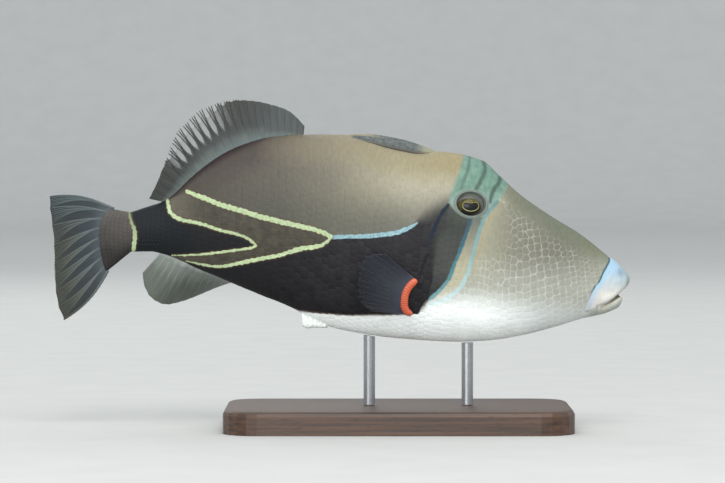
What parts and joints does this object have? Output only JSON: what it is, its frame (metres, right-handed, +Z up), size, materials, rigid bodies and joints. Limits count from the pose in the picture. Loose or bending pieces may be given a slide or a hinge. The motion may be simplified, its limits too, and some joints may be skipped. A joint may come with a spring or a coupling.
{
  "type": "reef triggerfish model on a display stand",
  "caption": "Life-size still model of a reef triggerfish swimming level, fins spread, held by two short rods on a flat base.",
  "frame": {"origin": "on the floor, under the middle of the whole model", "axes": "+X towards the snout, +Y towards the fish's left side, +Z up"},
  "size_m": [0.2014, 0.07, 0.1143],
  "materials": {
    "skin": "scaly skin, beige, black and white with pale green and turquoise lines",
    "lips": "smooth pale blue and cream lips",
    "eye": "glossy eye, dark iris with a thin gold ring",
    "dark_fins": "dark translucent membrane with paler rays",
    "pale_fins": "pale translucent membrane with rays",
    "pelvic_scales": "white rough scales",
    "stand_wood": "dark satin wood",
    "stand_steel": "brushed steel rod"
  },
  "bodies": {
    "root": {"head": "skin", "trunk": "skin", "caudal_peduncle": "skin", "tail_base": "skin", "upper_lip": "lips", "lower_lip": "lips", "eye_left": "eye", "eye_right": "eye", "first_dorsal_fin": "dark_fins", "dorsal_fin": "dark_fins", "anal_fin": "pale_fins", "caudal_fin": "dark_fins", "pectoral_fin_left": "dark_fins", "pectoral_fin_right": "dark_fins", "pelvic_terminus": "pelvic_scales", "stand_base": "stand_wood", "stand_rod_front": "stand_steel", "stand_rod_rear": "stand_steel"}
  },
  "joints": []
}
